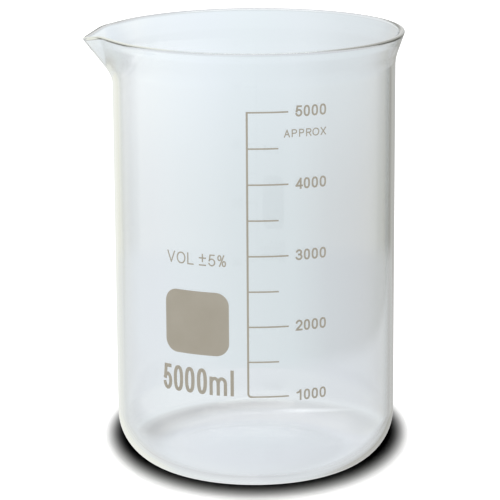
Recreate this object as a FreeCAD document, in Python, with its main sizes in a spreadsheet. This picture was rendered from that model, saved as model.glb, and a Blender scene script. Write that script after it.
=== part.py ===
# Low-form laboratory beaker of 5000 ml, blown in one piece of borosilicate glass.
# Origin: centre of the flat base, on the axis of the vessel. +Z is up, the printed scale
# faces -Y and the spout points to -X. Lengths are in millimetres and angles in degrees.

import FreeCAD, Part
import math
import os
import Sketcher

# Driving dimensions: name, value, meaning
DRIVING_SIZES = [
    ("bodyRadius", 86.0, "outside radius of the straight wall"),
    ("rimHeight", 270.0, "base to the plane of the rim"),
    ("wallThickness", 3.2, "glass in the wall"),
    ("floorThickness", 4.5, "glass in the base"),
    ("heelRadius", 32.0, "outside radius of the turn from base to wall"),
    ("flareOut", 6.0, "how far the rim stands out from the wall"),
    ("flareDepth", 16.9, "rim plane down to where the flare would meet the wall"),
    ("flareBlend", 28.0, "radius of the bend from the wall into the flare"),
    ("rimRound", 1.2, "melted edges of the rim"),
    ("spoutOverhang", 22.5, "ridge under the spout, out from the wall at the rim plane"),
    ("spoutDrop", 28.0, "rim plane down to where that ridge leaves the wall"),
    ("spoutSeat", 0.6, "how deep the flanks of the spout start inside the wall at the rim"),
    ("footSeat", 3.0, "how deep they start at the foot of the spout"),
    ("spoutBlend", 9.0, "radius between the spout and the wall"),
    ("channelRadius", 1.3, "inside of the pouring tip at the rim plane"),
    ("channelWidening", 6.0, "growth of that radius down to the wall"),
    ("lipReach", 92.0, "axis to where the lip of the spout starts to droop"),
    ("lipAngle", 22.0, "droop of the lip below the rim plane"),
    ("lipBlend", 14.0, "radius of the bend into the droop"),
    ("enamelThickness", 0.1, "fired enamel on the glass"),
    ("scaleAngle", -3.4, "left edge of the scale line, turned from the front"),
    ("scaleLineWidth", 1.2, "width of the scale line"),
    ("scaleCorner", 2.6, "bend of the scale line into its lowest tick"),
    ("tickStroke", 0.9, "stroke width of a tick"),
    ("longTick", 24.8, "reach of a thousands tick from the left edge of the line"),
    ("shortTick", 18.9, "reach of a five-hundreds tick from the same edge"),
    ("lowestMark", 63.7, "base to the 1000 ml mark"),
    ("rimToTopMark", 35.22, "rim plane down to the 5000 ml mark"),
    ("patchAngle", -24.3, "middle of the marking patch, turned from the front"),
    ("patchMiddle", 107.4, "base to the middle of the marking patch"),
    ("patchWidth", 41.0, "marking patch from side to side"),
    ("patchRise", 38.7, "marking patch from bottom to top"),
    ("patchCorner", 8.0, "corner radius of the marking patch"),
]

# The spout is drawn through sections from the rim plane down, at these shares of its drop.
# The last section lies where the ridge has just run into the wall.
SPOUT_SHARES = (0, 0.25, 0.5, 0.75)
SPOUT_FOOT = "(1 + Sizes.spoutSeat / (2 * Sizes.spoutOverhang))"
# Thousands ticks above the lowest one, and the ticks between the thousands
UPPER_LONG_TICKS = 4
SHORT_TICKS = 4
# Heights of the scale: its highest tick, and the rise from one thousands tick to the next
TOP_MARK = "(Sizes.rimHeight - Sizes.rimToTopMark)"
MARK_PITCH = f"(({TOP_MARK} - Sizes.lowestMark) / {UPPER_LONG_TICKS})"
# Clearance of a cutting shape past the glass
CUT_MARGIN = 6
# The melted edges take up to this share of the wall, so that a flat ring stays between them
EDGE_SHARE = 0.4
# A face whose normal rises more than this counts as the top of the rim
UPWARD = 0.9
FULL_TURN = 360

doc = FreeCAD.newDocument("GriffinBeaker")
sheet = doc.addObject("Spreadsheet::Sheet", "Sizes")
for row, (alias, number, meaning) in enumerate(DRIVING_SIZES, start=1):
    sheet.set(f"A{row}", meaning)
    sheet.set(f"B{row}", str(number))
    sheet.setAlias(f"B{row}", alias)
doc.recompute()

TURNED_SURFACES = ("Part::GeomCylinder", "Part::GeomToroid", "Part::GeomCone")
DRAWN_SURFACE = "Part::GeomBSplineSurface"
START, END, CENTRE = range(1, 4)
ORIGIN_POINT = (-1, 1)
LEVEL_AXIS = -1
UPRIGHT_AXIS = -2


# Small helpers

def measure(formula):
    """The number that a formula gives with the present sizes."""
    return float(sheet.evalExpression(formula))


def sketch_on(body, role, name):
    """A sketch on one of the body's own origin planes."""
    sketch = body.newObject("Sketcher::SketchObject", name)
    plane = next(item for item in body.Origin.OriginFeatures if item.Role == role)
    sketch.AttachmentSupport = [(plane, "")]
    sketch.MapMode = "FlatFace"
    return sketch


def turn_sketch(sketch, formula):
    """Turn an upright sketch about the axis of the vessel."""
    upright = FreeCAD.Vector(0, 1, 0)
    turned = FreeCAD.Rotation(upright, measure(formula))
    sketch.AttachmentOffset = FreeCAD.Placement(FreeCAD.Vector(), turned)
    sketch.setExpression("AttachmentOffset.Rotation.Angle", f"({formula}) * 1deg")


def line(sketch, start, end):
    """A straight edge, returned by its index."""
    edge = Part.LineSegment(FreeCAD.Vector(*start, 0), FreeCAD.Vector(*end, 0))
    return sketch.addGeometry(edge, False)


def arc(sketch, centre, radius, first, last, guide=False):
    """An arc that runs anticlockwise between two angles in degrees. A guide has no glass."""
    circle = Part.Circle(FreeCAD.Vector(*centre, 0), FreeCAD.Vector(0, 0, 1), radius)
    edge = Part.ArcOfCircle(circle, math.radians(first), math.radians(last))
    return sketch.addGeometry(edge, guide)


def tie(sketch, *terms):
    """A constraint with no size of its own."""
    sketch.addConstraint(Sketcher.Constraint(*terms))


def size(sketch, formula, *terms):
    """A constraint whose size is a formula on the sheet."""
    index = sketch.addConstraint(Sketcher.Constraint(*terms, measure(formula)))
    sketch.setExpression(f"Constraints[{index}]", formula)


def join(sketch, *edges):
    """Make each edge of a closed outline start where the one before ends."""
    for first, second in zip(edges, edges[1:] + edges[:1]):
        tie(sketch, "Coincident", first, END, second, START)


def feature(body, kind, name, profile):
    """A feature of the body that works on one sketch."""
    result = body.newObject(f"PartDesign::{kind}", name)
    result.Profile = profile
    profile.Visibility = False
    return result


def spin(body, kind, name, profile):
    """Turn a half profile round the axis of the vessel, to add or to cut."""
    result = feature(body, kind, name, profile)
    result.ReferenceAxis = (profile, ["V_Axis"])
    result.Angle = FULL_TURN
    return result


# The glass

def cup_outline(body, name, floor, inset):
    """Half section of a round vessel: floor, heel, straight wall and flare up to the rim."""
    sketch = sketch_on(body, "XZ_Plane", name)
    radius = f"(Sizes.bodyRadius - {inset})"
    heel = f"(Sizes.heelRadius - {inset})"
    lean = "(atan(Sizes.flareOut / Sizes.flareDepth) / 2)"
    wall_top = f"(Sizes.rimHeight - Sizes.flareDepth - Sizes.flareBlend * tan({lean}))"
    mouth_radius = f"({radius} + Sizes.flareOut)"
    low, wide, turn, top = (measure(item) for item in (floor, radius, heel, wall_top))
    rim = measure("Sizes.rimHeight")
    mouth = measure(mouth_radius)
    bend = measure("Sizes.flareBlend")
    slope = math.atan2(measure("Sizes.flareOut"), measure("Sizes.flareDepth"))
    leave = (wide + bend * (1 - math.cos(slope)), top + bend * math.sin(slope))

    base = line(sketch, (0, low), (wide - turn, low))
    corner = arc(sketch, (wide - turn, low + turn), turn, -90, 0)
    wall = line(sketch, (wide, low + turn), (wide, top))
    curve = arc(sketch, (wide + bend, top), bend, 180 - math.degrees(slope), 180)
    flare = line(sketch, leave, (mouth, rim))
    lid = line(sketch, (mouth, rim), (0, rim))
    axis = line(sketch, (0, rim), (0, low))
    tie(sketch, "Tangent", base, END, corner, START)
    tie(sketch, "Tangent", corner, END, wall, START)
    tie(sketch, "Tangent", wall, END, curve, END)
    tie(sketch, "Tangent", curve, START, flare, START)
    tie(sketch, "Coincident", flare, END, lid, START)
    tie(sketch, "Coincident", lid, END, axis, START)
    tie(sketch, "Coincident", axis, END, base, START)
    tie(sketch, "Horizontal", base)
    tie(sketch, "Vertical", wall)
    tie(sketch, "Horizontal", lid)
    tie(sketch, "PointOnObject", base, START, UPRIGHT_AXIS)
    tie(sketch, "PointOnObject", axis, START, UPRIGHT_AXIS)
    if low > 0:
        size(sketch, floor, "DistanceY", *ORIGIN_POINT, base, START)
    else:
        tie(sketch, "PointOnObject", base, END, LEVEL_AXIS)
    size(sketch, heel, "Radius", corner)
    size(sketch, radius, "DistanceX", *ORIGIN_POINT, wall, END)
    size(sketch, wall_top, "DistanceY", *ORIGIN_POINT, wall, END)
    size(sketch, "Sizes.flareBlend", "Radius", curve)
    size(sketch, mouth_radius, "DistanceX", *ORIGIN_POINT, flare, END)
    size(sketch, "Sizes.rimHeight", "DistanceY", *ORIGIN_POINT, axis, START)
    return sketch


def spout_section(body, name, share, inset):
    """Two flanks that leave the wall along its tangents and close on a small round ridge."""
    sketch = sketch_on(body, "XY_Plane", name)
    depth = f"(Sizes.spoutDrop * {share})"
    height = f"Sizes.rimHeight - {depth}"
    opening = f"Sizes.flareOut * max(0; 1 - {depth} / Sizes.flareDepth)"
    seat = f"(Sizes.spoutSeat + (Sizes.footSeat - Sizes.spoutSeat) * {share})"
    wall = f"(Sizes.bodyRadius + {opening} - {seat})"
    ridge = f"(Sizes.channelRadius + Sizes.wallThickness + Sizes.channelWidening * {share})"
    reach = f"(Sizes.bodyRadius + Sizes.spoutOverhang * (1 - {share}) - {ridge})"
    wide, narrow, away = measure(f"{wall} - {inset}"), measure(f"{ridge} - {inset}"), measure(reach)
    turn = math.degrees(math.acos((wide - narrow) / away))
    along, across = math.cos(math.radians(turn)), math.sin(math.radians(turn))
    touch = (-wide * along, wide * across)
    leave = (-away - narrow * along, narrow * across)

    sketch.AttachmentOffset.Base = FreeCAD.Vector(0, 0, measure(height))
    sketch.setExpression("AttachmentOffset.Base.z", height)
    guide = arc(sketch, (0, 0), wide, 180 + turn, 540 - turn, guide=True)
    upper = line(sketch, touch, leave)
    tip = arc(sketch, (-away, 0), narrow, 180 - turn, 180 + turn)
    lower = line(sketch, (leave[0], -leave[1]), (touch[0], -touch[1]))
    chord = line(sketch, (touch[0], -touch[1]), touch)
    tie(sketch, "Coincident", guide, CENTRE, *ORIGIN_POINT)
    tie(sketch, "PointOnObject", tip, CENTRE, LEVEL_AXIS)
    tie(sketch, "Tangent", guide, END, upper, START)
    tie(sketch, "Tangent", upper, END, tip, START)
    tie(sketch, "Tangent", tip, END, lower, START)
    tie(sketch, "Tangent", lower, END, guide, START)
    tie(sketch, "Coincident", lower, END, chord, START)
    tie(sketch, "Coincident", chord, END, upper, START)
    size(sketch, f"{wall} - {inset}", "Radius", guide)
    size(sketch, f"{ridge} - {inset}", "Radius", tip)
    size(sketch, reach, "DistanceX", tip, CENTRE, *ORIGIN_POINT)
    return sketch


def spout_loft(body, kind, name, inset):
    """One skin of the spout, drawn from its foot on the wall up to the rim plane."""
    shares = [SPOUT_FOOT, *reversed(SPOUT_SHARES)]
    sections = []
    for number, share in enumerate(shares):
        sections.append(spout_section(body, f"{name}Section{number}", share, inset))
    result = feature(body, kind, name, sections[0])
    result.Sections = sections[1:]
    return result


def lip_outline(body):
    """Side view of what is melted away above the drooping lip."""
    sketch = sketch_on(body, "XZ_Plane", "LipOutline")
    hinge = "(Sizes.lipReach - Sizes.lipBlend * tan(Sizes.lipAngle * 0.5deg))"
    past = f"(Sizes.bodyRadius + Sizes.spoutOverhang + {CUT_MARGIN})"
    above = f"(Sizes.rimHeight + {CUT_MARGIN})"
    low = f"(Sizes.rimHeight - ({past} - Sizes.lipReach) * tan(Sizes.lipAngle * 1deg))"
    bend, angle = measure("Sizes.lipBlend"), measure("Sizes.lipAngle")
    left, right, top = -measure(past), -measure(hinge), measure(above)
    centre = (right, measure("Sizes.rimHeight") - bend)
    droop = math.radians(angle)
    leave = (right - bend * math.sin(droop), centre[1] + bend * math.cos(droop))
    curve = arc(sketch, centre, bend, 90, 90 + angle)
    slope = line(sketch, leave, (left, measure(low)))
    side = line(sketch, (left, measure(low)), (left, top))
    lid = line(sketch, (left, top), (right, top))
    drop = line(sketch, (right, top), (right, centre[1] + bend))
    tie(sketch, "Tangent", curve, END, slope, START)
    tie(sketch, "Coincident", slope, END, side, START)
    tie(sketch, "Coincident", side, END, lid, START)
    tie(sketch, "Coincident", lid, END, drop, START)
    tie(sketch, "Coincident", drop, END, curve, START)
    tie(sketch, "Vertical", side)
    tie(sketch, "Horizontal", lid)
    tie(sketch, "Vertical", drop)
    tie(sketch, "Vertical", curve, CENTRE, curve, START)
    size(sketch, "Sizes.lipBlend", "Radius", curve)
    size(sketch, hinge, "DistanceX", curve, START, *ORIGIN_POINT)
    size(sketch, "Sizes.rimHeight", "DistanceY", *ORIGIN_POINT, curve, START)
    size(sketch, past, "DistanceX", side, END, *ORIGIN_POINT)
    size(sketch, above, "DistanceY", *ORIGIN_POINT, side, END)
    size(sketch, low, "DistanceY", *ORIGIN_POINT, slope, END)
    return sketch


def faces_up(face):
    """Whether a face looks upwards at its middle."""
    place = face.CenterOfMass
    return face.normalAt(*face.Surface.parameter(place)).z > UPWARD


def rim_edges(shape):
    """The edges where the top of the rim meets the two skins of the glass."""
    lowest = measure("Sizes.rimHeight - Sizes.spoutDrop")
    top_faces = [face for face in shape.Faces if face.CenterOfMass.z > lowest and faces_up(face)]
    shared = [edge for face in top_faces for edge in face.Edges]
    names = []
    for number, edge in enumerate(shape.Edges, start=1):
        if sum(edge.isSame(other) for other in shared) == 1:
            names.append(f"Edge{number}")
    return names


def spout_edges(shape, inside):
    """The edges where the drawn spout leaves the turned wall, on the inner or the outer skin."""
    rim, flare, opening, body_radius, wall = (
        measure(f"Sizes.{name}")
        for name in ("rimHeight", "flareDepth", "flareOut", "bodyRadius", "wallThickness")
    )
    names = []
    for number, edge in enumerate(shape.Edges, start=1):
        kinds = [face.Surface.TypeId for face in shape.ancestorsOfType(edge, Part.Face)]
        turned = [kind for kind in kinds if kind in TURNED_SURFACES]
        middle = edge.valueAt((edge.FirstParameter + edge.LastParameter) / 2)
        skin = body_radius + opening * max(0, 1 - (rim - middle.z) / flare)
        buried = skin - math.hypot(middle.x, middle.y) > wall / 2
        if len(turned) == 1 and DRAWN_SURFACE in kinds and buried == inside:
            names.append(f"Edge{number}")
    return names


def melt(body, name, base, edges, radius):
    """Round some edges of the glass."""
    result = body.newObject("PartDesign::Fillet", name)
    result.Base = (base, edges)
    result.setExpression("Radius", radius)
    doc.recompute()
    return result


def build_glass():
    """Turn the round vessel, draw the spout out of it, hollow both and melt the edges."""
    body = doc.addObject("PartDesign::Body", "beaker")
    wall = "Sizes.wallThickness"
    spin(body, "Revolution", "Blank", cup_outline(body, "OuterOutline", "0", "0"))
    doc.recompute()
    spout = spout_loft(body, "AdditiveLoft", "Spout", "0")
    doc.recompute()
    melt(body, "SpoutRoots", spout, spout_edges(spout.Shape, inside=False), "Sizes.spoutBlend")
    volumes = [body.Shape.Volume]

    hollow = cup_outline(body, "InnerOutline", "Sizes.floorThickness", wall)
    spin(body, "Groove", "Hollow", hollow)
    doc.recompute()
    volumes.append(body.Shape.Volume)
    channel = spout_loft(body, "SubtractiveLoft", "Channel", wall)
    doc.recompute()
    volumes.append(body.Shape.Volume)
    melt(body, "ChannelRoots", channel, spout_edges(channel.Shape, inside=True),
         f"Sizes.spoutBlend + {wall}")

    lip = feature(body, "Pocket", "LipDroop", lip_outline(body))
    lip.Type = "ThroughAll"
    lip.Midplane = True
    doc.recompute()
    volumes.append(body.Shape.Volume)
    if sorted(volumes, reverse=True) != volumes or len(set(volumes)) < len(volumes):
        raise RuntimeError(f"a cut took no glass away: {volumes}")
    melt(body, "MeltedRim", lip, rim_edges(lip.Shape), f"min(Sizes.rimRound; {wall} * {EDGE_SHARE})")
    return body


# The enamel: outlines

def box_outline(sketch, left, right, bottom, top):
    """A rectangle to the right of the sketch's origin, each side at its own formula."""
    low, high = measure(bottom), measure(top)
    near, far = measure(left), measure(right)
    edges = [
        line(sketch, (near, low), (far, low)),
        line(sketch, (far, low), (far, high)),
        line(sketch, (far, high), (near, high)),
        line(sketch, (near, high), (near, low)),
    ]
    join(sketch, *edges)
    for edge in edges[0::2]:
        tie(sketch, "Horizontal", edge)
    for edge in edges[1::2]:
        tie(sketch, "Vertical", edge)
    size(sketch, left, "DistanceX", *ORIGIN_POINT, edges[0], START)
    size(sketch, right, "DistanceX", *ORIGIN_POINT, edges[1], START)
    size(sketch, bottom, "DistanceY", *ORIGIN_POINT, edges[0], START)
    size(sketch, top, "DistanceY", *ORIGIN_POINT, edges[2], START)


def scale_outline(sketch):
    """The scale line, bent at its foot into the lowest tick."""
    mark = "Sizes.lowestMark"
    stroke = "Sizes.tickStroke"
    wide, reach = measure("Sizes.scaleLineWidth"), measure("Sizes.longTick")
    top = f"({TOP_MARK} + {stroke} / 2)"
    low = f"({mark} - {stroke} / 2)"
    bend, head, foot = measure("Sizes.scaleCorner"), measure(top), measure(low)
    thin = measure(stroke)
    inner = bend - wide
    hub = (bend, foot + thin + inner)
    left = line(sketch, (0, head), (0, foot + bend))
    outer_bend = arc(sketch, (bend, foot + bend), bend, 180, 270)
    under = line(sketch, (bend, foot), (reach, foot))
    tip = line(sketch, (reach, foot), (reach, foot + thin))
    over = line(sketch, (reach, foot + thin), (hub[0], foot + thin))
    inner_bend = arc(sketch, hub, inner, 180, 270)
    right = line(sketch, (wide, hub[1]), (wide, head))
    cap = line(sketch, (wide, head), (0, head))
    tie(sketch, "Tangent", left, END, outer_bend, START)
    tie(sketch, "Tangent", outer_bend, END, under, START)
    tie(sketch, "Tangent", over, END, inner_bend, END)
    tie(sketch, "Tangent", inner_bend, START, right, START)
    tie(sketch, "Coincident", under, END, tip, START)
    tie(sketch, "Coincident", tip, END, over, START)
    tie(sketch, "Coincident", right, END, cap, START)
    tie(sketch, "Coincident", cap, END, left, START)
    for edge in (under, over, cap):
        tie(sketch, "Horizontal", edge)
    for edge in (left, tip, right):
        tie(sketch, "Vertical", edge)
    tie(sketch, "PointOnObject", left, START, UPRIGHT_AXIS)
    size(sketch, "Sizes.scaleCorner", "Radius", outer_bend)
    size(sketch, "Sizes.scaleCorner - Sizes.scaleLineWidth", "Radius", inner_bend)
    size(sketch, "Sizes.scaleLineWidth", "DistanceX", *ORIGIN_POINT, right, START)
    size(sketch, "Sizes.longTick", "DistanceX", *ORIGIN_POINT, under, END)
    size(sketch, top, "DistanceY", *ORIGIN_POINT, left, START)
    size(sketch, low, "DistanceY", *ORIGIN_POINT, under, END)
    size(sketch, stroke, "DistanceY", tip, START, tip, END)


def patch_outline(sketch):
    """A square with rounded corners, centred on the sketch's upright axis."""
    width, corner = "Sizes.patchWidth", "Sizes.patchCorner"
    low = "(Sizes.patchMiddle - Sizes.patchRise / 2)"
    top = "(Sizes.patchMiddle + Sizes.patchRise / 2)"
    side, turn = measure(width) / 2, measure(corner)
    foot, head = measure(low), measure(top)
    inside = side - turn
    bottom = line(sketch, (-inside, foot), (inside, foot))
    right = line(sketch, (side, foot + turn), (side, head - turn))
    lid = line(sketch, (inside, head), (-inside, head))
    left = line(sketch, (-side, head - turn), (-side, foot + turn))
    corners = [
        arc(sketch, (inside, foot + turn), turn, 270, 360),
        arc(sketch, (inside, head - turn), turn, 0, 90),
        arc(sketch, (-inside, head - turn), turn, 90, 180),
        arc(sketch, (-inside, foot + turn), turn, 180, 270),
    ]
    sides = [bottom, right, lid, left]
    for before, bend, after in zip(sides, corners, sides[1:] + sides[:1]):
        tie(sketch, "Tangent", before, END, bend, START)
        tie(sketch, "Tangent", bend, END, after, START)
    tie(sketch, "Symmetric", bottom, START, bottom, END, UPRIGHT_AXIS)
    tie(sketch, "Horizontal", lid)
    tie(sketch, "Vertical", right)
    tie(sketch, "Vertical", left)
    for bend in corners[1:]:
        tie(sketch, "Equal", corners[0], bend)
    size(sketch, corner, "Radius", corners[0])
    size(sketch, width, "DistanceX", left, END, right, START)
    size(sketch, low, "DistanceY", *ORIGIN_POINT, bottom, START)
    size(sketch, top, "DistanceY", *ORIGIN_POINT, lid, START)


def stamp(body, name, sketch):
    """Push an upright outline from the axis out through the front wall."""
    pad = feature(body, "Pad", name, sketch)
    pad.setExpression("Length", f"Sizes.bodyRadius + {CUT_MARGIN}")
    doc.recompute()
    return pad


def keep_skin(body, angle):
    """Turn away all but a skin of enamel that lies on the outside of the wall."""
    outside = "(Sizes.bodyRadius + Sizes.enamelThickness)"
    past = f"({outside} + 2 * {CUT_MARGIN})"
    for name, near, far in (("GlassSide", "0", "Sizes.bodyRadius"), ("FreeSide", outside, past)):
        sketch = sketch_on(body, "XZ_Plane", f"{name}Outline")
        turn_sketch(sketch, angle)
        box_outline(sketch, near, far, "0", "Sizes.rimHeight")
        before = body.Shape.Volume
        spin(body, "Groove", name, sketch)
        doc.recompute()
        if not before > body.Shape.Volume > 0:
            raise RuntimeError(f"{body.Label}: {name} cut nothing or everything")


def build_scale():
    """Scale line with its lowest tick, then the ticks above it, repeated up the wall."""
    body = doc.addObject("PartDesign::Body", "graduation_scale")
    outline = sketch_on(body, "XZ_Plane", "ScaleLineOutline")
    turn_sketch(outline, "Sizes.scaleAngle")
    scale_outline(outline)
    stamp(body, "ScaleLine", outline)
    ticks = (
        ("LongTick", "Sizes.longTick", 1, UPPER_LONG_TICKS),
        ("ShortTick", "Sizes.shortTick", 0.5, SHORT_TICKS),
    )
    for name, reach, first, count in ticks:
        sketch = sketch_on(body, "XZ_Plane", f"{name}Outline")
        turn_sketch(sketch, "Sizes.scaleAngle")
        middle = f"Sizes.lowestMark + {MARK_PITCH} * {first}"
        box_outline(sketch, "Sizes.scaleLineWidth / 2", reach,
                    f"({middle} - Sizes.tickStroke / 2)", f"({middle} + Sizes.tickStroke / 2)")
        tick = stamp(body, name, sketch)
        rows = body.newObject("PartDesign::LinearPattern", f"{name}s")
        rows.Originals = [tick]
        rows.Direction = (sketch, ["V_Axis"])
        rows.Occurrences = count
        rows.setExpression("Length", f"{MARK_PITCH} * {count - 1}")
        body.Tip = rows
        doc.recompute()
    keep_skin(body, "Sizes.scaleAngle")
    return body


def build_patch():
    """The square to write on, fired to the wall beside the scale."""
    body = doc.addObject("PartDesign::Body", "marking_patch")
    outline = sketch_on(body, "XZ_Plane", "PatchOutline")
    turn_sketch(outline, "Sizes.patchAngle")
    patch_outline(outline)
    stamp(body, "Patch", outline)
    keep_skin(body, "Sizes.patchAngle")
    return body


def check_and_write(bodies):
    """Refuse a failed feature or a broken solid, then write one file for each piece."""
    doc.recompute()
    for item in doc.Objects:
        if "Invalid" in item.State or "Error" in item.State:
            raise RuntimeError(f"{item.Name}: {item.State}")
    for body in bodies:
        shape = body.Shape
        if shape.isNull() or not shape.isValid() or len(shape.Solids) != 1:
            raise RuntimeError(f"{body.Label} is not one valid solid")
        box = shape.optimalBoundingBox()
        print(f"{body.Label}: {shape.Volume:.1f} mm3,"
              f" x {box.XMin:.2f} to {box.XMax:.2f},"
              f" y {box.YMin:.2f} to {box.YMax:.2f},"
              f" z {box.ZMin:.2f} to {box.ZMax:.2f}")
    os.makedirs("parts", exist_ok=True)
    for body in bodies:
        body.Shape.exportStep(f"parts/{body.Label}.step")


check_and_write([build_glass(), build_scale(), build_patch()])
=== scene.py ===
import math
import bpy
import numpy as np
from mathutils import Matrix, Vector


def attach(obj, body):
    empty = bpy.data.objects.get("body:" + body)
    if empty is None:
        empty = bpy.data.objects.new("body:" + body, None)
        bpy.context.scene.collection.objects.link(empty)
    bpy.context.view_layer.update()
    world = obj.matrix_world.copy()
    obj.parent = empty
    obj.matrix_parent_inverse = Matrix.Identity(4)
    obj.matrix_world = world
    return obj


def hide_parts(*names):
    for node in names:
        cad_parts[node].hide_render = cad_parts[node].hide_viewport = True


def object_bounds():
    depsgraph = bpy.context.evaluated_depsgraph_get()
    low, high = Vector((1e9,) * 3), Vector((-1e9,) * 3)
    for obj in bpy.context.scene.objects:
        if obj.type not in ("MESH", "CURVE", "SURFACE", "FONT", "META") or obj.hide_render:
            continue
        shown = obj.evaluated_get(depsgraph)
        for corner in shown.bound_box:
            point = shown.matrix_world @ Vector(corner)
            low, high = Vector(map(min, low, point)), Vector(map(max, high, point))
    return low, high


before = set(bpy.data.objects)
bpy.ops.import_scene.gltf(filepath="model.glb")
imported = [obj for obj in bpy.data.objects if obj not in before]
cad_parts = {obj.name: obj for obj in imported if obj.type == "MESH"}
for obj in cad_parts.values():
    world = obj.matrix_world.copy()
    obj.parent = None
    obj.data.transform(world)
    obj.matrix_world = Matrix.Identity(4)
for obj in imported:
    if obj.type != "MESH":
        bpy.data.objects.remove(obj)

# Low-form laboratory beaker. The frame is in metres; the sizes below are in millimetres.
mm = 0.001
cadBox = [list(corner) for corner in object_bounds()]
bodyRadius = 86.0  # outside of the straight wall
rimHeight = cadBox[1][2] / mm
print("frame loaded, rim at", round(rimHeight, 2), "mm")


# node helpers

class Wire:  # a node's output that can be used in sums
    def __init__(self, board, socket):
        self.board = board
        self.socket = socket

    def sum(self, operation, first, second=0.0):
        return self.board.add("ShaderNodeMath", {"operation": operation}, {0: first, 1: second})

    def __add__(self, other): return self.sum("ADD", self, other)
    def __radd__(self, other): return self.sum("ADD", other, self)
    def __sub__(self, other): return self.sum("SUBTRACT", self, other)
    def __rsub__(self, other): return self.sum("SUBTRACT", other, self)
    def __mul__(self, other): return self.sum("MULTIPLY", self, other)
    def __rmul__(self, other): return self.sum("MULTIPLY", other, self)
    def __truediv__(self, other): return self.sum("DIVIDE", self, other)
    def __pow__(self, other): return self.sum("POWER", self, other)


class Board:  # a node tree, cleared, with one method for every kind of node
    def __init__(self, owner):
        owner.use_nodes = True
        self.tree = owner.node_tree
        self.tree.nodes.clear()

    def add(self, kind, settings={}, inputs={}, output=0):
        node = self.tree.nodes.new(kind)
        for name, value in settings.items():
            if name == "stops":  # a colour ramp: (position, colour) from low to high
                ramp = node.color_ramp
                while len(ramp.elements) < len(value):
                    ramp.elements.new(1.0)
                for element, (position, colour) in zip(ramp.elements, value):
                    element.position = position
                    element.color = (*colour, 1.0)
            elif name == "interpolation" and kind == "ShaderNodeValToRGB":
                node.color_ramp.interpolation = value
            else:
                setattr(node, name, value)
        for name, value in inputs.items():
            if isinstance(value, Wire):
                self.tree.links.new(value.socket, node.inputs[name])
            else:
                node.inputs[name].default_value = value
        return Wire(self, node.outputs[output]) if node.outputs else None

    def part(self, wire, name):  # another output of the node that a wire comes from
        return Wire(self, wire.socket.node.outputs[name])


def fromScreen(red, green, blue):  # a colour as it reads on the screen, 0 to 255, made linear
    levels = np.array([red, green, blue]) / 255
    return tuple(np.where(levels > 0.04045, ((levels + 0.055) / 1.055) ** 2.4, levels / 12.92))


def blendColours(board, share, first, second):
    return board.add("ShaderNodeMix", {"data_type": "RGBA"}, {0: share, 6: first, 7: second}, output=2)


def easeShare(board, value, start, end):  # 0 before start, 1 after end, smooth between them
    return board.add("ShaderNodeMapRange", {"interpolation_type": "SMOOTHSTEP"}, {
        "Value": value, "From Min": start, "From Max": end})


def plainColour(colour):
    return (*colour, 1.0)


# mesh helpers

def makePiece(name, points, faces, material, slotName, smooth=True):
    mesh = bpy.data.meshes.new(name)
    mesh.from_pydata((np.asarray(points) * mm).tolist(), [], faces)
    mesh.polygons.foreach_set("use_smooth", np.full(len(mesh.polygons), smooth))
    mesh.update()
    piece = bpy.data.objects.new(name, mesh)
    bpy.context.scene.collection.objects.link(piece)
    piece.data.materials.append(material)
    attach(piece, "root")
    return piece


def ringFaces(rows, columns):  # quads between rings of points that close on themselves
    step = np.arange(columns)
    following = (step + 1) % columns
    start = np.arange(rows - 1)[:, None] * columns
    quads = np.stack([start + step, start + following,
                      start + columns + following, start + columns + step], axis=-1)
    return quads.reshape(-1, 4)


def onWall(arc, height, radius):  # arc along the wall from the front, positive to the right
    angle = arc / bodyRadius
    return np.stack([radius * np.sin(angle), -radius * np.cos(angle), height + 0 * angle], axis=-1)


# The glass. Every height has an outer and an inner skin. Seen from above each skin is the round wall
# joined to the spout, which is two flat flanks that touch the wall and close on a small
# round ridge. Going up, the ridge moves out and gets narrower, and the wall opens in a flare.

glass = {
    "wall": 3.2,
    "floor": 4.5,
    "heelRadius": 32.0,
    "flareOut": 5.9,
    "flareDepth": 16.9,
    "flareBlend": 28.0,
    "spoutOverhang": 21.9,
    "spoutDrop": 28.0,
    "spoutSeat": 0.6,
    "footSeat": 3.0,
    "spoutBlend": 4.6,  # how far apart wall and spout still melt into each other
    "tipRadius": 4.5,  # ridge of the spout at the rim, outside
    "ridgeWidening": 6.0,
    "lipReach": 92.0,
    "lipAngle": 22.0,
    "lipBlend": 14.0,
    "beadHeight": 1.5,  # from the rim's widest place up to its top
    "beadBulge": 0.3,  # how far the melted rim stands in from the inner skin
    "beadFade": 4.5,
    "leanLimit": 0.35,
    "columns": 340,
    "fineStep": 0.22,  # degrees between columns at the spout's tip
    "coarseStep": 1.25,
    "fineUntil": 3.0,
    "coarseFrom": 50.0,
    "floorRings": (0.3, 0.6, 0.85, 0.96),  # shares of the flat floor's radius
    "heelRows": 24,
    "wallRows": 64,
    "plainWall": (0.16, 0.8),  # this share of the rows covers that share of the wall, from the heel up
    "beadRows": 18,
    "lipRounds": 12,
}


def flareAt(height):
    # a bend of constant radius, then a straight cone that passes the wall at flareDepth
    slope = math.atan2(glass["flareOut"], glass["flareDepth"])
    bend = glass["flareBlend"]
    base = rimHeight - glass["flareDepth"]
    climb = np.clip(height - (base - bend * math.tan(slope / 2)), 0, bend * math.sin(slope))
    curved = bend - np.sqrt(bend ** 2 - climb ** 2)
    straight = (height - base) * math.tan(slope)
    return np.where(climb < bend * math.sin(slope), curved, straight)


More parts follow.
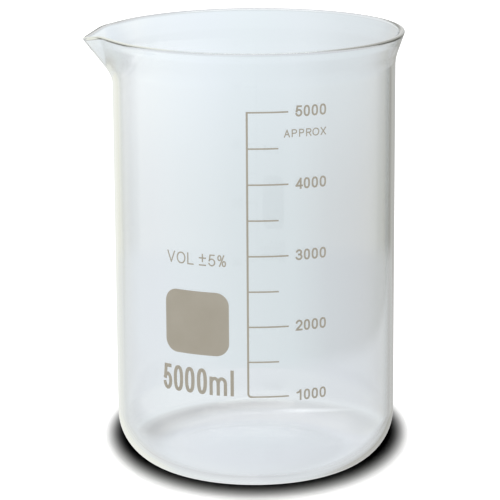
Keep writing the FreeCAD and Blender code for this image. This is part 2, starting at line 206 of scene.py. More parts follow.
def spoutAt(turn, height, inset):
    # polar radius of the outline round wall circle and ridge circle: ridge arc, then flank
    share = np.clip((rimHeight - height) / glass["spoutDrop"], 0, 1.2)
    seat = glass["spoutSeat"] + (glass["footSeat"] - glass["spoutSeat"]) * np.minimum(share, 1)
    ridge = glass["tipRadius"] + glass["ridgeWidening"] * share
    away = bodyRadius + glass["spoutOverhang"] * (1 - share) - ridge
    wide = bodyRadius + flareAt(height) - seat - inset
    narrow = ridge - inset
    touch = np.arccos(np.clip((wide - narrow) / away, -1, 1))
    leave = np.arctan2(narrow * np.sin(touch), away + narrow * np.cos(touch))
    reach = np.abs(turn)
    inside = np.maximum(narrow ** 2 - (away * np.sin(reach)) ** 2, 0)
    tip = away * np.cos(reach) + np.sqrt(inside)
    past = reach - touch
    flank = np.where(past < 0, wide / np.cos(np.minimum(past, 0)), wide * np.cos(np.clip(past, 0, 1.5)))
    return np.where(reach < leave, tip, flank)


def skinAt(turn, height, inset):
    # the larger of wall and spout, rounded where the two are nearly equal
    wall = bodyRadius - inset + flareAt(height) + 0 * turn
    spout = spoutAt(turn, height, inset)
    melt = glass["spoutBlend"]
    near = np.clip(1 - np.abs(wall - spout) / melt, 0, 1)
    return np.maximum(wall, spout) + melt * near ** 2 / 4


def lipAt(reach):
    # how far the lip droops below the rim plane: level, a bend, then a straight slope
    slope = math.radians(glass["lipAngle"])
    bend = glass["lipBlend"]
    start = glass["lipReach"] - bend * math.tan(slope / 2)
    along = np.clip(reach - start, 0, bend * math.sin(slope))
    curved = bend - np.sqrt(bend ** 2 - along ** 2)
    straight = (reach - glass["lipReach"]) * math.tan(slope)
    return np.where(along < bend * math.sin(slope), curved, straight)


def columnTurns():
    # angles from the spout, close together at its tip and wide apart round the wall
    angle = np.radians(np.linspace(-180, 180, 7201))
    share = np.clip((np.abs(np.degrees(angle)) - glass["fineUntil"]) / glass["coarseFrom"], 0, 1)
    share = share * share * (3 - 2 * share)
    step = glass["fineStep"] + (glass["coarseStep"] - glass["fineStep"]) * share
    count = np.concatenate([[0], np.cumsum(1 / step[1:])])
    return np.interp(np.arange(glass["columns"]) / glass["columns"], count / count[-1], angle)


def glassPoints():
    turn = columnTurns()[None, :]
    wall, bead = glass["wall"], glass["beadHeight"]
    top = np.full_like(turn, rimHeight)
    for _ in range(glass["lipRounds"]):  # the lip's height and its reach depend on each other
        middle = (skinAt(turn, top - bead, 0) + skinAt(turn, top - bead, wall)) / 2
        top = rimHeight - lipAt(middle * np.cos(turn))
    hub = top - bead

    def flat(radius, height):  # a ring of constant radius and height
        return radius + 0 * turn, height + 0 * turn

    rows = []
    foot = bodyRadius - glass["heelRadius"]
    for share in glass["floorRings"]:
        rows.append(flat(foot * share, 0))
    outerHeel = glass["heelRadius"]
    for angle in np.linspace(0, math.pi / 2, glass["heelRows"]):
        rows.append(flat(foot + outerHeel * math.sin(angle), outerHeel * (1 - math.cos(angle))))

    steps = np.linspace(0, 1, glass["wallRows"])
    few, covered = glass["plainWall"]  # so most rows lie in the flare and the spout
    climb = np.interp(steps, [0, few, 1], [0, covered, 1])[1:]

    def bulgeAt(height):
        fade = np.clip((hub - height) / glass["beadFade"], 0, 1)
        return glass["beadBulge"] * (1 - fade * fade * (3 - 2 * fade))

    for share in climb:
        height = outerHeel + (hub - outerHeel) * share
        rows.append((skinAt(turn, height, 0), height))
    outer = skinAt(turn, hub, 0)
    inner = skinAt(turn, hub, wall) - glass["beadBulge"]
    below = skinAt(turn, hub - 1, 0)
    lean = np.clip(skinAt(turn, hub, 0) - below, 0, glass["leanLimit"])
    for angle in np.linspace(0, math.pi, glass["beadRows"])[1:-1]:
        radius = (outer + inner) / 2 + (outer - inner) / 2 * math.cos(angle)
        rows.append((radius + lean * bead * math.sin(angle), hub + bead * math.sin(angle)))
    innerHeel = outerHeel - wall
    low = glass["floor"] + innerHeel
    for share in climb[::-1]:
        height = low + (hub - low) * share
        rows.append((skinAt(turn, height, wall) - bulgeAt(height), height))
    for angle in np.linspace(math.pi / 2, 0, glass["heelRows"]):
        rows.append(flat(foot + innerHeel * math.sin(angle), low - innerHeel * math.cos(angle)))
    for share in glass["floorRings"][::-1]:
        rows.append(flat(foot * share, glass["floor"]))
    radius = np.concatenate([row[0] for row in rows])
    height = np.concatenate([row[1] for row in rows])
    return np.stack([-radius * np.cos(turn), -radius * np.sin(turn), height], axis=-1)


def buildGlass(material):
    points = glassPoints()
    rows, columns = points.shape[:2]
    count = rows * columns
    faces = ringFaces(rows, columns).tolist()
    step = np.arange(columns)
    following = (step + 1) % columns
    under = np.full(columns, count)
    faces += np.stack([under, following, step], axis=-1).tolist()
    last = count - columns
    faces += np.stack([last + step, last + following, under + 1], axis=-1).tolist()
    centres = [[0, 0, 0], [0, 0, glass["floor"]]]
    points = np.concatenate([points.reshape(-1, 3), centres])
    piece = makePiece("blown_glass", points, faces, material, "glass")
    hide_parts("beaker")
    return piece


# The enamel print. All of it is pen strokes: a centre line on the unrolled wall, in millimetres of arc and
# height, given a width and then bent round the wall.

enamel = {
    "sink": 0.012,  # how far the print's underside stays off the glass
    "proud": 0.09,
    "stretch": 1.2,  # longest straight stretch along the wall
    "curvePoints": 15,
    "loopPoints": 28,  # a line with this many points is closed
    "scaleLeft": -5.1,
    "lineWidth": 1.2,
    "tickStroke": 0.9,
    "longTick": 24.8,
    "shortTick": 18.9,
    "corner": 2.0,
    "marks": 5,
    "lowestMark": 63.7,
    "rimToTopMark": 35.22,
}


def penStroke(path, width, closed=False, cap=0.0):
    # a flat band along the path; corners are mitred and open ends lengthened by the cap
    path = np.asarray(path, float)
    if closed:
        path = np.concatenate([path, path[:1]])
    step = np.diff(path, axis=0)
    length = np.linalg.norm(step, axis=1)
    if not closed:
        path[0] -= step[0] / length[0] * cap
        path[-1] += step[-1] / length[-1] * cap
        length = np.linalg.norm(np.diff(path, axis=0), axis=1)
    along = np.concatenate([[0], np.cumsum(length)])
    places = np.unique(np.round(np.concatenate([along, np.arange(0, along[-1], enamel["stretch"])]), 3))
    places[-1] = along[-1]
    path = np.stack([np.interp(places, along, path[:, axis]) for axis in range(2)], axis=-1)
    ahead = np.diff(path, axis=0)
    ahead /= np.linalg.norm(ahead, axis=1, keepdims=True)
    if closed:
        before, after, path = np.roll(ahead, 1, axis=0), ahead, path[:-1]
    else:
        before, after = np.concatenate([ahead[:1], ahead]), np.concatenate([ahead, ahead[-1:]])
    middle = before + after
    middle /= np.linalg.norm(middle, axis=1, keepdims=True)
    mitre = 1 / np.maximum((middle * after).sum(axis=1, keepdims=True), 0.6)
    side = np.stack([-middle[:, 1], middle[:, 0]], axis=-1) * mitre * width / 2
    left, right = path + side, path - side
    under, over = bodyRadius + enamel["sink"], bodyRadius + enamel["proud"]
    corners = (right, over), (left, over), (left, under), (right, under)
    points = np.stack([onWall(line[:, 0], line[:, 1], radius) for line, radius in corners], axis=1)
    count = len(path)
    if closed:
        faces = ringFaces(count + 1, 4) % (4 * count)
        return points.reshape(-1, 3), faces.tolist()
    end = (count - 1) * 4
    ends = [[3, 2, 1, 0], [end, end + 1, end + 2, end + 3]]
    return points.reshape(-1, 3), ringFaces(count, 4).tolist() + ends


def gather(parts):  # several meshes as one list of points and one of faces
    starts = np.cumsum([0] + [len(points) for points, _ in parts])
    faces = [[start + index for index in face]
             for start, (_, some) in zip(starts.tolist(), parts) for face in some]
    return np.concatenate([points for points, _ in parts]), faces


def markHeights():
    return np.linspace(enamel["lowestMark"], rimHeight - enamel["rimToTopMark"], enamel["marks"])


def buildScale(material):
    marks = markHeights()
    middle = enamel["scaleLeft"] + enamel["lineWidth"] / 2
    bend = enamel["corner"]
    turn = np.linspace(math.pi, 1.5 * math.pi, 9)
    corner = np.stack([middle + bend + bend * np.cos(turn), marks[0] + bend + bend * np.sin(turn)], axis=-1)
    top = [[middle, marks[-1] + enamel["tickStroke"] / 2]]
    parts = [penStroke(np.concatenate([top, corner]), enamel["lineWidth"])]
    starts = np.concatenate([[middle + bend], np.full(2 * len(marks) - 2, middle)])
    heights = np.concatenate([marks, (marks[1:] + marks[:-1]) / 2])
    isLong = np.arange(len(heights)) < len(marks)
    ends = enamel["scaleLeft"] + np.where(isLong, enamel["longTick"], enamel["shortTick"])
    for start, height, end in zip(starts, heights, ends):
        parts.append(penStroke([(start, height), (end, height)], enamel["tickStroke"]))
    points, faces = gather(parts)
    piece = makePiece("printed_scale", points, faces, material, "enamel", smooth=False)
    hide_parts("graduation_scale")
    return piece


patch = {"middleAngle": -24.3, "middleHeight": 107.4, "width": 41.0, "rise": 38.7, "corner": 8.0,
         "columns": 36, "cornerRows": 14}


def buildPatch(material):
    # rows from bottom to top, each as wide as a square with rounded corners is there
    half, corner = patch["rise"] / 2, patch["corner"]
    angle = np.linspace(0, math.pi / 2, patch["cornerRows"])
    climb = corner * (1 - np.cos(angle))
    height = np.concatenate([climb - half, (half - climb)[::-1]])
    inset = corner - np.sqrt(np.maximum(corner ** 2 - (corner - climb) ** 2, 0))
    inset = np.concatenate([inset, inset[::-1]])
    across = np.linspace(-1, 1, patch["columns"])[None, :] * (patch["width"] / 2 - inset)[:, None]
    # the flat stencil was pushed straight on, so its width is measured across the chord
    angle = np.arcsin(across / bodyRadius) + math.radians(patch["middleAngle"])
    arc = angle * bodyRadius
    height = (height + patch["middleHeight"])[:, None] + 0 * arc
    over = onWall(arc, height, bodyRadius + enamel["proud"])
    under = onWall(arc, height, bodyRadius + enamel["sink"])
    ring = np.concatenate([over, under[:, ::-1]], axis=1)
    rows, columns = ring.shape[:2]
    faces = ringFaces(rows, columns).tolist()
    half = columns // 2
    step = np.arange(half - 1)
    end = (rows - 1) * columns
    bottom = np.stack([step + 1, step, columns - 1 - step, columns - 2 - step], axis=-1)
    top = np.stack([end + step, end + step + 1, end + columns - 2 - step, end + columns - 1 - step], axis=-1)
    faces += bottom.tolist() + top.tolist()
    piece = makePiece("writing_patch", ring.reshape(-1, 3), faces, material, "enamel", smooth=False)
    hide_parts("marking_patch")
    return piece


def curved(across, height, halfWidth, halfHeight, start, end):  # part of an ellipse, in degrees
    angle = np.radians(np.linspace(start, end, enamel["curvePoints"]))
    return np.stack([across + halfWidth * np.cos(angle), height + halfHeight * np.sin(angle)], axis=-1)


def loop(across=0.5, height=0.5, halfWidth=0.5, halfHeight=0.5, power=2.0):
    # closed oval; a power above 2 makes its sides straighter
    angle = np.linspace(0, math.tau, enamel["loopPoints"] + 1)[:-1]
    cosine, sine = np.cos(angle), np.sin(angle)
    return np.stack([across + halfWidth * np.sign(cosine) * np.abs(cosine) ** (2 / power),
                     height + halfHeight * np.sign(sine) * np.abs(sine) ** (2 / power)], axis=-1)


# centre lines of the letters in a box from (0, 0) to (1, 1); a loop is closed
bowl = np.concatenate([[(0, 0), (0, 1), (0.5, 1)], curved(0.6, 0.745, 0.4, 0.255, 90, -90),
                       [(0.5, 0.49), (0.05, 0.49)]])
letters = {
    "0": [loop(power=2.5)],
    "1": [[(0.0, 0.76), (0.45, 0.80), (0.85, 0.97)], [(1, 0), (1, 1)]],
    "2": [np.concatenate([curved(0.5, 0.72, 0.5, 0.28, 168, -32),
                          [(0.6, 0.36), (0.12, 0.10), (0, 0), (1, 0)]])],
    "3": [curved(0.48, 0.76, 0.45, 0.24, 160, -90), curved(0.48, 0.265, 0.52, 0.265, 90, -160)],
    "4": [[(0.76, 0), (0.76, 1)], [(0.70, 0.94), (0.0, 0.26)], [(0.0, 0.25), (1, 0.25)]],
    "5": [[(0.90, 1), (0.20, 1), (0.06, 0.47)], curved(0.48, 0.315, 0.52, 0.315, 148, -160)],
    "m": [[(0, 0), (0, 1)], np.concatenate([curved(0.25, 0.68, 0.25, 0.32, 180, 0), [(0.5, 0)]]),
          np.concatenate([curved(0.75, 0.68, 0.25, 0.32, 180, 0), [(1, 0)]])],
    "l": [[(0.5, 0), (0.5, 1)]],
    "A": [[(0, 0), (0.5, 1), (1, 0)], [(0.24, 0.34), (0.76, 0.34)]],
    "L": [[(0, 1), (0, 0), (1, 0)]],
    "O": [loop(power=2.1)],
    "P": [bowl],
    "R": [bowl, [(0.55, 0.46), (1, 0)]],
    "V": [[(0, 1), (0.5, 0), (1, 1)]],
    "X": [[(0, 0), (1, 1)], [(0, 1), (1, 0)]],
    "±": [[(0.5, 0.34), (0.5, 1)], [(0, 0.67), (1, 0.67)], [(0, 0), (1, 0)]],
    "%": [loop(0.2, 0.77, 0.2, 0.23), loop(0.8, 0.23, 0.2, 0.23), [(0.22, 0.0), (0.78, 1.0)]],
}

words = {  # letters with the left and right end of each on the wall, in millimetres of arc
    "numeralStroke": 1.1,
    "numeralHeight": 6.6,
    "numeralRise": 0.15,
    "firstDigit": {1: (24.4, 27.5), 2: (24.0, 28.2), 3: (24.0, 28.2), 4: (24.0, 28.5), 5: (24.0, 28.2)},
    "zeros": [("0", 29.0, 32.95), ("0", 34.0, 38.1), ("0", 39.2, 43.45)],
    "capacity": [("5", -59.7, -53.3), ("0", -52.0, -45.4), ("0", -44.1, -37.6), ("0", -36.05, -29.6)],
    "capacityStroke": 2.2,
    "capacityHeights": (63.9, 79.8),
    "unit": [("m", -28.0, -17.2)],
    "unitStroke": 2.0,
    "unitHeights": (63.9, 75.3),
    "unitEnd": [("l", -15.1, -13.1)],
    "note": [("A", 17.1, 20.7), ("P", 21.7, 25.0), ("P", 26.2, 29.3), ("R", 30.5, 33.9), ("O", 34.5, 38.9),
             ("X", 39.8, 43.4)],
    "noteStroke": 0.66,
    "noteHeights": (219.7, 224.4),
    "accuracy": [("V", -55.6, -50.0), ("O", -48.8, -42.8), ("L", -41.6, -37.4), ("±", -34.0, -29.4),
                 ("5", -28.0, -23.7), ("%", -22.5, -17.2)],
    "accuracyStroke": 0.8,
    "accuracyHeights": (142.6, 149.8),
}


def letterParts(places, heights, stroke):
    parts = []
    for letter, left, right in places:
        corner = np.array([left + stroke / 2, heights[0] + stroke / 2])
        size = np.array([right - left - stroke, heights[1] - heights[0] - stroke])
        for line in letters[letter]:
            closed = len(line) == enamel["loopPoints"]
            parts.append(penStroke(corner + np.asarray(line, float) * size, stroke, closed, stroke / 2))
    return parts


def buildWords(material):
    numerals = []
    for count, mark in enumerate(markHeights() + words["numeralRise"], start=1):
        heights = (mark - words["numeralHeight"] / 2, mark + words["numeralHeight"] / 2)
        places = [(str(count), *words["firstDigit"][count])] + words["zeros"]
        numerals += letterParts(places, heights, words["numeralStroke"])
    capacity = letterParts(words["capacity"], words["capacityHeights"], words["capacityStroke"])
    capacity += letterParts(words["unit"], words["unitHeights"], words["unitStroke"])
    capacity += letterParts(words["unitEnd"], words["capacityHeights"], words["unitStroke"])
    note = letterParts(words["note"], words["noteHeights"], words["noteStroke"])
    accuracy = letterParts(words["accuracy"], words["accuracyHeights"], words["accuracyStroke"])
    named = {"scale_numerals": numerals, "capacity_mark": capacity, "scale_note": note,
             "accuracy_note": accuracy}
    for name, parts in named.items():
        makePiece(name, *gather(parts), material, "enamel", smooth=False)


glassFinish = {
    "tint": (0.985, 0.993, 0.996),
    "ior": 1.474,
    "waveStretch": (60.0, 60.0, 6.0),  # drawn tube: waves are ten times longer upwards
    "waveHeight": 0.0002,
    "waveStrength": 0.05,
    "reflections": 2.5,  # past this many glossy bounces the glass shows the painted glow below, which stands in for light that runs inside the wall
    "paintedGlowHalf": 0.1,  # the painted glow changes from left to right: metres from the middle, colour
    "rimPaintedGlow": [(-0.1, (0.10, 0.10, 0.09)), (-0.078, (0.12, 0.12, 0.11)), (-0.055, (0.70, 0.75, 0.77)),
                (0.030, (0.70, 0.75, 0.77)), (0.041, (0.50, 0.53, 0.54)), (0.060, (0.20, 0.20, 0.19)),
                (0.1, (0.04, 0.04, 0.03))],
    "wallPaintedGlow": [(-0.1, (0.82, 0.84, 0.76)), (-0.062, (0.80, 0.82, 0.76)), (-0.045, (0.70, 0.75, 0.77)),
                 (0.030, (0.70, 0.75, 0.77)), (0.060, (0.50, 0.50, 0.47)), (0.1, (0.40, 0.40, 0.37))],
    "rimPaintedGlowFrom": (0.257, 0.263),  # heights between which the rim's painted glow comes in
}


def makeGlass():
    material = bpy.data.materials.new("blown_borosilicate")
    board = Board(material)
    place = board.add("ShaderNodeTexCoord", output=3)
    drawn = board.add("ShaderNodeMapping", {}, {"Vector": place, "Scale": glassFinish["waveStretch"]})
    wave = board.add("ShaderNodeTexNoise", {}, {"Vector": drawn, "Scale": 1.0, "Detail": 2.0}, output=0)
    bump = board.add("ShaderNodeBump", {}, {
        "Strength": glassFinish["waveStrength"], "Distance": glassFinish["waveHeight"], "Height": wave})
    shader = board.add("ShaderNodeBsdfPrincipled", {}, {
        "Base Color": (*glassFinish["tint"], 1.0), "Roughness": 0.0, "IOR": glassFinish["ior"],
        "Transmission Weight": 1.0, "Normal": bump})
    parts = board.add("ShaderNodeSeparateXYZ", {}, {"Vector": place})
    across, up = board.part(parts, "X"), board.part(parts, "Z")
    # painted glow: a path past that many reflections inside the wall ends in an emission whose colour is
    # painted by height and by place from left to right
    half = glassFinish["paintedGlowHalf"]
    wallPaintedGlow, rimPaintedGlow = (board.add("ShaderNodeValToRGB", {"interpolation": "EASE", "stops": [
        ((x + half) / (2 * half), colour) for x, colour in glassFinish[name]]},
        {"Fac": (across + half) / (2 * half)}) for name in ("wallPaintedGlow", "rimPaintedGlow"))
    paintedGlow = blendColours(board, easeShare(board, up, *glassFinish["rimPaintedGlowFrom"]), wallPaintedGlow, rimPaintedGlow)
    paintedGlowShader = board.add("ShaderNodeBsdfPrincipled", {}, {
        "Base Color": (0.0, 0.0, 0.0, 1.0), "Roughness": 1.0, "Specular IOR Level": 0.0,
        "Emission Color": paintedGlow, "Emission Strength": 1.0})
    deep = board.part(board.add("ShaderNodeLightPath"), "Glossy Depth")
    mix = board.add("ShaderNodeMixShader", {}, {
        0: deep.sum("GREATER_THAN", deep, glassFinish["reflections"]), 1: shader, 2: paintedGlowShader})
    board.add("ShaderNodeOutputMaterial", {}, {"Surface": mix})
    return material


enamelFinish = {
    "colour": (171, 164, 149),
    "lighter": (179, 173, 159),
    "cloudScale": 40.0,  # patches of the lighter colour, to the metre
    "cloudRange": (0.3, 0.7),
    "grainScale": 2500.0,
    "grainHeight": 0.00002,
    "grainStrength": 0.25,
    "roughness": 0.55,
    "roughnessChange": 0.1,
}


def makeEnamel():
    material = bpy.data.materials.new("fired_enamel")
    board = Board(material)
    place = board.add("ShaderNodeTexCoord", output=3)
    cloud = board.add("ShaderNodeTexNoise", {}, {
        "Vector": place, "Scale": enamelFinish["cloudScale"], "Detail": 4.0}, output=0)
    grain = board.add("ShaderNodeTexNoise", {}, {
        "Vector": place, "Scale": enamelFinish["grainScale"], "Detail": 2.0}, output=0)
    tones = [fromScreen(*enamelFinish[name]) for name in ("colour", "lighter")]
    colour = board.add("ShaderNodeValToRGB", {"stops": list(zip(enamelFinish["cloudRange"], tones))},
                       {"Fac": cloud})
    bump = board.add("ShaderNodeBump", {}, {
        "Strength": enamelFinish["grainStrength"], "Distance": enamelFinish["grainHeight"], "Height": grain})
    roughness = enamelFinish["roughness"] + enamelFinish["roughnessChange"] * (grain - 0.5)
    shader = board.add("ShaderNodeBsdfPrincipled", {}, {
        "Base Color": colour, "Roughness": roughness, "Normal": bump})
    board.add("ShaderNodeOutputMaterial", {}, {"Surface": shader})
    return material


# The studio. Directions are degrees round from straight behind, positive to the right.

surround = {
    "above": [  # backdrop as the glass shows it, from this height up
        (-180, (0.62, 0.62, 0.62)), (-92, (1.0, 1.0, 0.95)), (-60, (1.0, 1.0, 0.95)),
        (-40, (0.80, 0.81, 0.77)), (-30, (0.84, 0.85, 0.78)), (-20, (0.88, 0.89, 0.83)),
        (-12, (0.88, 0.91, 0.96)), (-7, (0.94, 0.97, 1.01)), (-4.5, (0.92, 0.97, 1.0)),
        (-1.7, (0.87, 0.93, 0.99)), (0, (0.84, 0.91, 0.95)), (1, (0.81, 0.87, 0.915)),
        (3.6, (0.71, 0.765, 0.80)), (5.6, (0.67, 0.715, 0.75)), (8.3, (0.60, 0.62, 0.65)),
        (12, (0.55, 0.57, 0.58)), (16, (0.47, 0.48, 0.48)), (24, (0.50, 0.50, 0.47)),
        (32, (0.32, 0.32, 0.29)), (40, (0.20, 0.20, 0.18)), (48, (0.45, 0.45, 0.42)),
        (62, (1.2, 1.2, 1.12)), (95, (1.25, 1.26, 1.17)), (180, (0.62, 0.62, 0.62))],
    "aboveFrom": -8.0,
    "low": [  # backdrop just over the table
        (-180, (0.62, 0.62, 0.62)), (-92, (1.0, 1.0, 0.93)), (-60, (1.0, 1.0, 0.93)),
        (-38, (0.68, 0.69, 0.63)), (-32, (0.74, 0.75, 0.67)), (-26, (0.81, 0.82, 0.73)),
        (-18, (0.86, 0.87, 0.80)), (-12, (0.77, 0.80, 0.82)), (-7, (0.73, 0.77, 0.81)),
        (-4.5, (0.755, 0.79, 0.83)), (-1.7, (0.755, 0.81, 0.84)), (0, (0.735, 0.795, 0.82)),
        (1, (0.71, 0.77, 0.795)), (3.6, (0.61, 0.635, 0.66)), (5.6, (0.58, 0.595, 0.61)),
        (8.3, (0.51, 0.52, 0.515)), (12, (0.45, 0.45, 0.435)), (16, (0.41, 0.41, 0.39)),
        (24, (0.48, 0.48, 0.45)), (32, (0.27, 0.27, 0.25)), (40, (0.16, 0.16, 0.14)),
        (52, (0.55, 0.55, 0.50)), (62, (1.1, 1.1, 1.02)), (95, (1.2, 1.2, 1.1)),
        (180, (0.62, 0.62, 0.62))],
    "lowFrom": -13.2,
    "table": [
        (-180, (0.62, 0.62, 0.62)), (-92, (0.78, 0.80, 0.80)), (-60, (0.78, 0.80, 0.80)),
        (-40, (0.62, 0.64, 0.64)), (-26, (0.72, 0.75, 0.75)), (-12, (0.76, 0.79, 0.82)),
        (-7, (0.72, 0.75, 0.79)), (-1.7, (0.80, 0.84, 0.87)), (0, (0.78, 0.815, 0.85)),
        (1, (0.76, 0.80, 0.83)), (3.6, (0.71, 0.735, 0.775)), (5.6, (0.685, 0.71, 0.74)),
        (8.3, (0.66, 0.67, 0.69)), (12, (0.66, 0.67, 0.67)), (34, (0.62, 0.63, 0.63)),
        (60, (0.95, 0.98, 1.0)), (95, (0.95, 0.98, 1.0)), (180, (0.62, 0.62, 0.62))],
    "tableFall": 0.292,  # slope down to the table's back edge, straight behind
    "tableRise": 0.09,  # how much less it falls at the sides
    "tableTop": -0.242,  # the edge never lies higher than this slope
    "tableSoft": 0.006,
    "near": (0.60, 0.61, 0.63),  # the table right before the beaker, and the slopes where it comes in
    "nearFrom": (0.66, 0.84),
    "overhead": (1.3, 1.3, 1.2),  # ceiling through the glass, and the slopes where it comes in
    "overheadFrom": (0.5, 1.0),
    "mirrored": [  # what its surfaces reflect
        (-180, (0.60, 0.61, 0.62)), (-110, (0.9, 0.9, 0.88)), (-60, (0.9, 0.9, 0.86)),
        (-40, (0.78, 0.79, 0.74)), (-30, (0.86, 0.87, 0.80)), (-20, (0.95, 0.96, 0.90)),
        (0, (0.92, 0.92, 0.92)), (8, (0.66, 0.66, 0.65)), (16, (0.47, 0.47, 0.46)),
        (24, (0.48, 0.48, 0.46)), (32, (0.33, 0.33, 0.31)), (40, (0.20, 0.20, 0.18)),
        (50, (0.32, 0.32, 0.30)), (110, (0.30, 0.30, 0.28)), (180, (0.60, 0.61, 0.62))],
    "softbox": (3.2, 3.2, 3.0),  # mirrored lamp overhead, and the slopes where it comes in
    "softboxFrom": (1.5, 2.2),
    "fill": 0.95,
}

ground = {
    "half": 6.0,  # metres
    "below": 0.0002,  # how far the floor stays under the glass, in metres
    "tone": 1.56,
    "rest": 0.8,  # what the floor sends back to the object
    "centre": (0.8, 57.0),  # of the soft shadow that is painted into the floor's colour, in millimetres
    "inner": (84.2, 107.8),  # half sizes of the ellipse where the painted shadow is black
    "outer": (101.5, 154.0),  # half sizes of the ellipse where the painted shadow ends
    "curve": 2.0,
    "seenCentre": (7.0, 27.0),
    "seen": [  # floor as the glass shows it, an emission with painted shade that is slightly darker near seenCentre: distance from seenCentre, colour
        (0, (0.71, 0.74, 0.78)), (60, (0.73, 0.75, 0.79)),
        (80, (0.76, 0.79, 0.82)), (110, (0.80, 0.83, 0.86))],
    "seenPaintedShadowRing": [  # the same with a painted shadow ring, where it lies in the dark of the far heel
        (0, (0.71, 0.74, 0.78)), (56, (0.71, 0.73, 0.77)), (64, (0.64, 0.66, 0.69)),
        (71, (0.58, 0.59, 0.61)), (76, (0.52, 0.53, 0.55)), (80, (0.53, 0.54, 0.56)),
        (86, (0.64, 0.66, 0.68)), (92, (0.76, 0.80, 0.83)), (110, (0.80, 0.83, 0.86))],
    "paintedRingBehind": (-20.0, 45.0),  # the painted shadow ring comes in between these, going back
    "paintedRingRight": (-10.0, 40.0),  # and fades between these, going right
    "paintedRingRest": 0.45,  # share of it that is left there
    "paintedShadeFront": (-55.0, -95.0),  # painted shade: the floor darkens towards the front heel
    "frontShare": 0.7,
    "paintedHighlight": (38.0, 88.0),  # painted highlight, a soft light on the far heel: place, half sizes, added light
    "paintedHighlightHalves": (36.0, 7.0),
    "paintedHighlightLight": 0.25,
    "paintedHighlightFrom": (0.2, 1.0),  # shares of the half sizes between which it fades
    "seenEnd": (88.0, 106.0),
}


def roundRamp(board, turn, stops):  # a ramp that runs once round, from the front over the left side
    places = [((degrees + 180) / 360, colour) for degrees, colour in stops]
    return board.add("ShaderNodeValToRGB", {"interpolation": "EASE", "stops": places}, {"Fac": turn})


def buildWorld():
    world = bpy.data.worlds.new("studio")
    bpy.context.scene.world = world
    board = Board(world)
    place = board.add("ShaderNodeTexCoord", output=0)
    parts = board.add("ShaderNodeSeparateXYZ", {}, {"Vector": place})
    across, ahead, up = board.part(parts, "X"), board.part(parts, "Y"), board.part(parts, "Z")
    turn = across.sum("ARCTAN2", across, ahead) / math.tau + 0.5
    level = (across * across + ahead * ahead) ** 0.5
    slope = up / level

    # backdrop, table and ceiling, seen through the glass
    lows, highs = (math.tan(math.radians(surround[name])) for name in ("lowFrom", "aboveFrom"))
    low, above, table, mirrored = (
        roundRamp(board, turn, surround[name]) for name in ("low", "above", "table", "mirrored"))
    backdrop = blendColours(board, easeShare(board, slope, lows, highs), low, above)
    sideways = across.sum("ABSOLUTE", across) / level
    edge = sideways * surround["tableRise"] - ahead / level * surround["tableFall"]
    edge = edge.sum("MINIMUM", edge, surround["tableTop"])
    onTable = easeShare(board, edge - slope, -surround["tableSoft"], surround["tableSoft"])
    through = blendColours(board, onTable, backdrop, table)
    through = blendColours(board, easeShare(board, -1 * slope, *surround["nearFrom"]), through,
                           plainColour(surround["near"]))
    through = blendColours(board, easeShare(board, slope, *surround["overheadFrom"]), through,
                           plainColour(surround["overhead"]))

    mirrored = blendColours(board, easeShare(board, slope, *surround["softboxFrom"]), mirrored,
                            plainColour(surround["softbox"]))
    rays = board.add("ShaderNodeLightPath")
    fill = plainColour((surround["fill"],) * 3)
    colour = blendColours(board, board.part(rays, "Is Glossy Ray"), fill, mirrored)
    colour = blendColours(board, board.part(rays, "Is Transmission Ray"), colour, through)
    colour = blendColours(board, board.part(rays, "Is Camera Ray"), colour, (1.0, 1.0, 1.0, 1.0))
    background = board.add("ShaderNodeBackground", {}, {"Color": colour, "Strength": 1.0})
    board.add("ShaderNodeOutputWorld", {}, {"Surface": background})


def ellipseReach(across, ahead, halves):  # 1 on the ellipse with those half sizes
    return ((across / halves[0]) ** 2 + (ahead / halves[1]) ** 2) ** 0.5


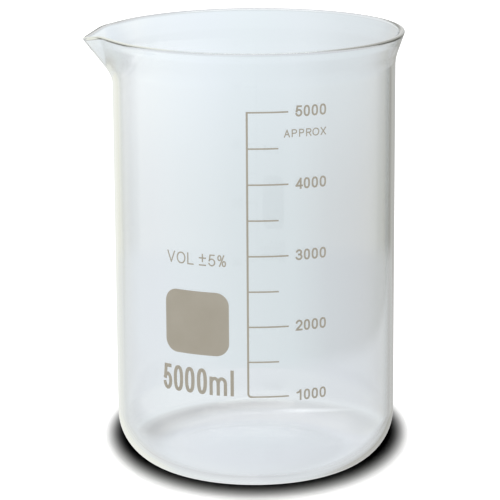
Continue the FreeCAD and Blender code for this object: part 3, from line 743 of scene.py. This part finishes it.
def buildFloor():
    half, level = ground["half"], -ground["below"]
    mesh = bpy.data.meshes.new("floor")
    corners = [(-half, -half, level), (half, -half, level), (half, half, level), (-half, half, level)]
    mesh.from_pydata(corners, [], [(0, 1, 2, 3)])
    floor = bpy.data.objects.new("floor", mesh)
    bpy.context.scene.collection.objects.link(floor)
    material = bpy.data.materials.new("studio_floor")
    floor.data.materials.append(material)
    board = Board(material)
    place = board.add("ShaderNodeTexCoord", output=3)
    parts = board.add("ShaderNodeSeparateXYZ", {}, {"Vector": place})
    across, ahead = board.part(parts, "X") * 1000, board.part(parts, "Y") * 1000

    # painted shadow: as the camera sees it, the floor's colour is black inside the inner ellipse and rises
    # to full tone at the outer one
    fromCentre = across - ground["centre"][0], ahead - ground["centre"][1]
    inner = ellipseReach(*fromCentre, ground["inner"])
    outer = ellipseReach(*fromCentre, ground["outer"])
    share = (inner - 1) / (inner / outer - 1)
    clearOfPaintedShadow = easeShare(board, share, 0.0, 1.0) ** ground["curve"]
    rays = board.add("ShaderNodeLightPath")
    tone = ground["rest"] + (ground["tone"] * clearOfPaintedShadow - ground["rest"]) * board.part(rays, "Is Camera Ray")
    tint = board.add("ShaderNodeCombineColor", {}, {0: tone, 1: tone, 2: tone})
    matte = board.add("ShaderNodeBsdfDiffuse", {}, {"Color": tint})

    # the floor as the glass shows it is an emission with painted shade: darker near seenCentre, a painted
    # shadow ring behind the beaker and darker towards the front
    sideways, backwards = across - ground["seenCentre"][0], ahead - ground["seenCentre"][1]
    reach = ellipseReach(sideways, backwards, (1.0, 1.0))
    longest = ground["seen"][-1][0]
    plain, ring = (board.add("ShaderNodeValToRGB", {"interpolation": "EASE", "stops": [
        (distance / longest, colour) for distance, colour in ground[name]]}, {"Fac": reach / longest})
        for name in ("seen", "seenPaintedShadowRing"))
    right = easeShare(board, across, *ground["paintedRingRight"])
    paintedRingShare = easeShare(board, ahead, *ground["paintedRingBehind"]) * (1 - (1 - ground["paintedRingRest"]) * right)
    seen = blendColours(board, paintedRingShare, plain, ring)
    # painted highlight: added light on the floor behind the far heel, as the glass shows it
    fromPaintedHighlight = across - ground["paintedHighlight"][0], ahead - ground["paintedHighlight"][1]
    paintedHighlight = 1 - easeShare(board, ellipseReach(*fromPaintedHighlight, ground["paintedHighlightHalves"]), *ground["paintedHighlightFrom"])
    front = easeShare(board, -1 * ahead, -ground["paintedShadeFront"][0], -ground["paintedShadeFront"][1])
    strength = 1 + paintedHighlight * ground["paintedHighlightLight"] - front * (1 - ground["frontShare"])
    paintedGlow = board.add("ShaderNodeEmission", {}, {"Color": seen, "Strength": strength})
    clear = board.add("ShaderNodeBsdfTransparent")
    end = easeShare(board, reach, *ground["seenEnd"])
    glassView = board.add("ShaderNodeMixShader", {}, {0: end, 1: paintedGlow, 2: clear})

    mirrored, through = board.part(rays, "Is Glossy Ray"), board.part(rays, "Is Transmission Ray")
    mix = board.add("ShaderNodeMixShader", {}, {0: mirrored, 1: matte, 2: clear})
    mix = board.add("ShaderNodeMixShader", {}, {0: through, 1: mix, 2: glassView})
    board.add("ShaderNodeOutputMaterial", {}, {"Surface": mix})


lamps = [
    # name, place, size, watts
    ("overhead_softbox", (-0.4, -0.5, 1.8), 1.6, 1.0),
    ("front_softbox", (-1.4, -1.8, 1.0), 1.2, 2.0),
]


def buildLamps():
    for name, place, size, watts in lamps:
        light = bpy.data.lights.new(name, "AREA")
        light.energy = watts
        light.size = size
        lamp = bpy.data.objects.new(name, light)
        bpy.context.scene.collection.objects.link(lamp)
        lamp.location = place
        aim = -lamp.location + Matrix.Identity(3)[2] * rimHeight * mm / 2
        lamp.rotation_euler = aim.to_track_quat("-Z", "Y").to_euler()
        lamp.visible_glossy = False
        lamp.visible_transmission = False


camera = {"place": (-3.035, -1575.7, 512.8), "pitch": 76.434, "roll": -0.334, "lens": 188.86, "farthest": 50}


def buildCamera():
    data = bpy.data.cameras.new("camera")
    data.lens = camera["lens"]
    data.clip_end = camera["farthest"]
    holder = bpy.data.objects.new("camera", data)
    bpy.context.scene.collection.objects.link(holder)
    tilt = Matrix.Rotation(math.radians(camera["pitch"]), 4, "X")
    roll = Matrix.Rotation(math.radians(camera["roll"]), 4, "Z")
    holder.matrix_world = Matrix.Translation([part * mm for part in camera["place"]]) @ tilt @ roll
    bpy.context.scene.camera = holder


buildWorld()
buildFloor()
buildLamps()
buildCamera()
bpy.context.scene.view_settings.view_transform = "Standard"
print("studio ready")

clearGlass = makeGlass()
printColour = makeEnamel()
body = buildGlass(clearGlass)
print("glass:", len(body.data.vertices), "points")
buildScale(printColour)
buildPatch(printColour)
buildWords(printColour)
print("print ready")
